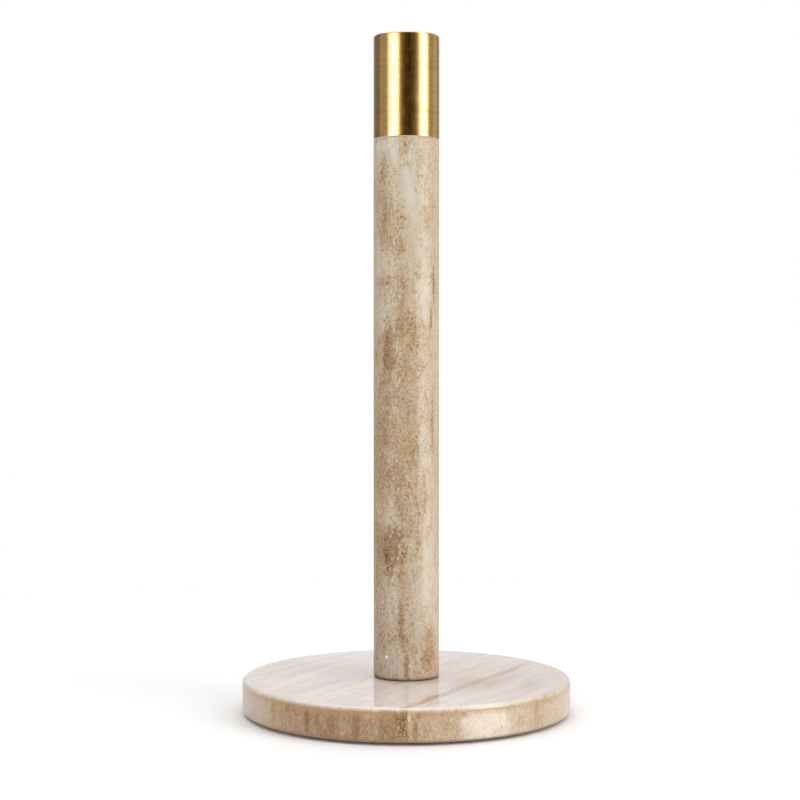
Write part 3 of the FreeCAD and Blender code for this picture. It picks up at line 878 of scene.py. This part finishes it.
# =====================================================================================================
#  the post
# =====================================================================================================
line = rounded(
    [
        (5.0, col_z0, 0),
        (15.0, col_z0, 0.5),
        (15.0, col_z1, 0.5),
        (5.0, col_z1, 0),
    ],
    6,
)
prof = []
for (r0, z0), (r1, z1) in zip(line, line[1:]):
    prof.append((r0, z0))
    n = math.ceil(abs(z1 - z0) / 0.9) if abs(z1 - z0) > 100 else (3 if abs(r1 - r0) > 5 else 1)
    for k in range(1, n):
        prof.append((lerp(r0, r1, k / n), lerp(z0, z1, k / n)))
prof.append(line[-1])


def post_move(r, z, a):
    if r < 13:
        return r, z
    dx, dy = math.cos(a), math.sin(a)
    wave = fbm(dx * 1.2, dy * 1.2, z * 0.012, 2)
    depth = 0.012 + 0.010 * max(-1.0, min(1.0, wave))
    pits = max(0.0, fbm(dx * 15.0, dy * 15.0, z * 0.75 + 4.0, 2) - 0.66)
    depth += min(0.10, pits * 0.5)
    edge = max(0.0, 1.0 - min(abs(z - col_z0), abs(z - col_z1)) / 1.2)
    nick = max(0.0, fbm(dx * 12.0, dy * 12.0, z * 0.8 + 9.0, 2) - 0.40)
    depth += edge * min(0.20, nick * 0.6)
    return r - depth, z


stone_post = lathe("stone_post", prof, 288, move=post_move)
stone_post.data.materials.append(MAT["column"])
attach(stone_post, "stand")
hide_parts("column")

# =====================================================================================================
#  the cap
# =====================================================================================================
R_CAP = 15.07
line = rounded(
    [
        (0.0, cap_z1 - 1.6, 0),
        (13.9, cap_z1 - 1.6, 0.6),
        (13.9, cap_z0, 0.0),
        (R_CAP, cap_z0, 0.15),
        (R_CAP, cap_z1, 0.9),
        (0.0, cap_z1, 0),
    ],
    8,
)
prof = []
for (r0, z0), (r1, z1) in zip(line, line[1:]):
    prof.append((r0, z0))
    long = math.hypot(r1 - r0, z1 - z0)
    n = math.ceil(long / 1.6) if long > 5 else 1
    for k in range(1, n):
        prof.append((lerp(r0, r1, k / n), lerp(z0, z1, k / n)))
prof.append(line[-1])
brass_cap = lathe("brass_cap", prof, 256, closed=False)
brass_cap.data.materials.append(MAT["brass"])
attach(brass_cap, "cap")
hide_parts("cap_shell")

# =====================================================================================================
#  the rod, the nuts and the washers: they show only with the cap off, or from below
# =====================================================================================================
PITCH = 1.25


def level(node):
    lo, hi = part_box(node)
    return lo.z / MM, hi.z / MM


def fit(ob, node, body, mat):
    ob.data.materials.append(MAT[mat])
    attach(ob, body)
    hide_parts(node)
    return ob


def thread(z, a, deep):
    """How far below the crest an ISO thread is at this height and angle: narrow crest, wider root."""
    f = (z / PITCH - a / (2.0 * PI)) % 1.0
    f = abs(f - 0.5) * 2.0                      # 0 at the crest, 1 at the root
    return deep * min(1.0, max(0.0, (f - 0.125) / 0.625))


# ---- tie rod: rolled thread at both ends, plain shank between
rod_z0, rod_z1 = level("tie_rod")
low_end, high_start = base_z0 + 14.0, rod_z1 - 34.0
levels = [(0.0, rod_z0), (1.6, rod_z0), (3.2, rod_z0)]
step = PITCH / 10.0
zz = rod_z0 + 0.12
while zz < low_end:
    levels.append((4.0, zz))
    zz += step
zz = low_end
while zz < high_start:
    levels.append((4.0, zz))
    zz += 4.0
zz = high_start
while zz < rod_z1 - 0.1:
    levels.append((4.0, zz))
    zz += step
levels += [(3.2, rod_z1), (1.6, rod_z1), (0.0, rod_z1)]


def rod_move(r, z, a):
    if r < 3.9:
        return r, z
    run = max(smooth(low_end, low_end - 1.2, z) if z < 100 else 0.0, smooth(high_start, high_start + 1.2, z) if z > 100 else 0.0)
    r = 3.985 - thread(z, a, 0.66) * run - 0.12 * (1.0 - run)
    return min(r, 3.2 + min(z - rod_z0, rod_z1 - z)), z


fit(lathe("threaded_rod", levels, 48, closed=False, move=rod_move, smooth_angle=50.0), "tie_rod", "stand", "rod")


# ---- nuts
def nut(name, node, turn, marks=0):
    z0, z1 = level(node)
    half = 6.5
    line = [(4.02, z0 + 0.45), (4.02, z1 - 0.45), (4.47, z1)]
    line += [(5.2, z1), (5.9, z1), (half - 0.1, z1)]
    chamfer = [0.06, 0.12, 0.2, 0.3, 0.42, 0.56, 0.8]
    line += [(9.0, z1 - d) for d in chamfer]
    n = 6
    line += [(9.0, lerp(z1 - 0.8, z0 + 0.8, k / n)) for k in range(1, n)]
    line += [(9.0, z0 + d) for d in reversed(chamfer)]
    line += [(half - 0.1, z0), (5.9, z0), (5.2, z0), (4.47, z0)]

    def move(r, z, a):
        if r < 7.0:
            return r, z
        s = (a + PI / 6.0) % (PI / 3.0) - PI / 6.0
        flat = half / math.cos(PI / 6.0 - abs(s))          # a = 0 is a corner
        d = min(z - z0, z1 - z)
        cone = half - 0.1 + d * (7.605 - (half - 0.1)) / 0.55
        soft_corner = 7.43
        return min(flat - 0.004, cone, soft_corner), z

    return lathe(name, line, 144, move=move, smooth_angle=24.0, phase=math.radians(turn))


fit(nut("upper_nut", "upper_clamp_nut", 10.0), "upper_clamp_nut", "stand", "zinc")
fit(nut("lower_jam_nut", "lower_clamp_nut", 0.0), "lower_clamp_nut", "stand", "zinc")


# ---- washers
def washer(name, node, inner, outer, edge, dish=0.0, wave=0.0, clear=0.0):
    z0, z1 = level(node)
    z0, z1 = z0 + clear, z1 - clear
    line = rounded(
        [
            (inner, (z0 + z1) / 2, 0),
            (inner, z0, min(edge, 0.12)),
            (outer, z0, edge),
            (outer, z1, edge),
            (inner, z1, min(edge, 0.12)),
            (inner, (z0 + z1) / 2, 0),
        ],
        5,
    )[:-1]
    out = []
    for (r0, q0), (r1, q1) in zip(line, line[1:] + line[:1]):
        out.append((r0, q0))
        if math.hypot(r1 - r0, q1 - q0) > 2.0:
            out += [(lerp(r0, r1, k / 6), lerp(q0, q1, k / 6)) for k in range(1, 6)]

    def move(r, z, a):
        # stamped or moulded: not quite round, and a little hollow on the flats
        r2 = r - wave * (0.5 + 0.5 * noise.noise(Vector((math.cos(a) * 2.0, math.sin(a) * 2.0, z * 0.3)))) * smooth(inner + 0.5, outer, r)
        mid = smooth(inner, (inner + outer) / 2, r) * smooth(outer, (inner + outer) / 2, r)
        return r2, z - dish * mid * (1.0 if z > (z0 + z1) / 2 else -1.0)

    return lathe(name, out, 128, move=move, smooth_angle=42.0)


fit(washer("upper_rubber_washer", "upper_cushion_washer", 5.0, 12.0, 0.30, 0.0, 0.06), "upper_cushion_washer", "stand", "black")
fit(washer("lower_rubber_washer", "lower_cushion_washer", 5.0, 12.0, 0.30, 0.0, 0.06), "lower_cushion_washer", "stand", "black")
fit(washer("upper_plate_washer", "upper_flat_washer", 4.2, 12.0, 0.25, 0.02, 0.02), "upper_flat_washer", "stand", "zinc")
fit(washer("lower_plate_washer", "lower_flat_washer", 4.2, 12.0, 0.25, 0.02, 0.02), "lower_flat_washer", "stand", "zinc")
fit(washer("seat_gasket", "column_seat_gasket", 5.0, 14.4, 0.15, 0.0, 0.06), "column_seat_gasket", "stand", "gasket")
fit(washer("rim_ring", "cap_rim_ring", 13.9, 14.7, 0.09, 0.0, 0.02, 0.003), "cap_rim_ring", "cap_ring", "nylon")


# ---- spring washers: a flat-section bar bent round, the ends cut on the slant
def spring(name, node):
    z0, z1 = level(node)
    inner, outer, e, gap, lean = 4.1, 6.9, 0.22, 0.72, 0.6
    cross = rounded([(inner, (z0 + z1) / 2, 0), (inner, z0, e), (outer, z0, e), (outer, z1, e), (inner, z1, e), (inner, (z0 + z1) / 2, 0)], 4)[:-1]
    bm = bmesh.new()
    n = 120
    rows = []
    for i in range(n + 1):
        row = []
        for r, z in cross:
            h = (z - (z0 + z1) / 2) / ((z1 - z0) / 2)
            # the slanting cut: y = lean * h -/+ gap at either side of +X
            a0 = math.asin((lean * h * 0.5 + gap) / r)
            a1 = 2.0 * PI + math.asin((lean * h * 0.5 - gap) / r)
            a = lerp(a0, a1, i / n)
            row.append(bm.verts.new((r * MM * math.cos(a), r * MM * math.sin(a), z * MM)))
        rows.append(row)
    k = len(cross)
    for a, b in zip(rows, rows[1:]):
        for i in range(k):
            j = (i + 1) % k
            bm.faces.new((a[i], a[j], b[j], b[i]))
    bm.faces.new(rows[0])
    bm.faces.new(list(reversed(rows[-1])))
    return finish_mesh(name, bm, 42.0)


fit(spring("upper_lock_washer", "upper_spring_washer"), "upper_spring_washer", "stand", "spring")
fit(spring("lower_lock_washer", "lower_spring_washer"), "lower_spring_washer", "stand", "spring")

# ---- the threaded insert pressed into the cap
ins_z0, ins_z1 = level("cap_insert")
line = [(4.85, ins_z0), (6.0, ins_z0), (6.2, ins_z0 + 0.15), (11.6, ins_z0 + 0.15), (11.8, ins_z0), (13.55, ins_z0), (13.88, ins_z0 + 0.33)]
line += [(13.88, lerp(ins_z0 + 0.33, ins_z1 - 0.33, k / 8)) for k in range(1, 8)]
line += [(13.88, ins_z1 - 0.33), (13.55, ins_z1), (9.0, ins_z1), (4.85, ins_z1)]
n = int((ins_z1 - ins_z0 - 1.6) / (PITCH / 10.0))
line += [(4.05, lerp(ins_z1 - 0.8, ins_z0 + 0.8, k / n)) for k in range(n + 1)]


def insert_move(r, z, a):
    if r < 4.1:
        # crest at 4.05, and the groove cut outwards
        return 4.06 + (0.62 - thread(z, a, 0.62)) * smooth(0.8, 1.2, min(z - ins_z0, ins_z1 - z)), z
    return r, z


fit(lathe("threaded_insert", line, 96, move=insert_move, smooth_angle=40.0), "cap_insert", "cap", "alu")

# ---- feet: moulded pads, a little hollow underneath
for node, deg_ in (("foot_front_left", 225.0), ("foot_front_right", 315.0), ("foot_back_right", 45.0), ("foot_back_left", 135.0)):
    f_lo, f_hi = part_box(node)
    cx, cy = (f_lo.x + f_hi.x) / 2 / MM, (f_lo.y + f_hi.y) / 2 / MM
    f0, f1 = max(0.0, f_lo.z / MM) + 0.002, f_hi.z / MM
    line = rounded([(0.0, f1, 0), (5.98, f1, 0.05), (5.98, f0, 0.40), (4.7, f0, 0.05), (4.5, f0 + 0.14, 0.05), (0.0, f0 + 0.14, 0)], 5)
    fit(lathe(node.replace("foot", "pad"), divided(line, 1.6), 96, closed=False, at=(cx, cy), smooth_angle=50.0), node, "stand", "foot")
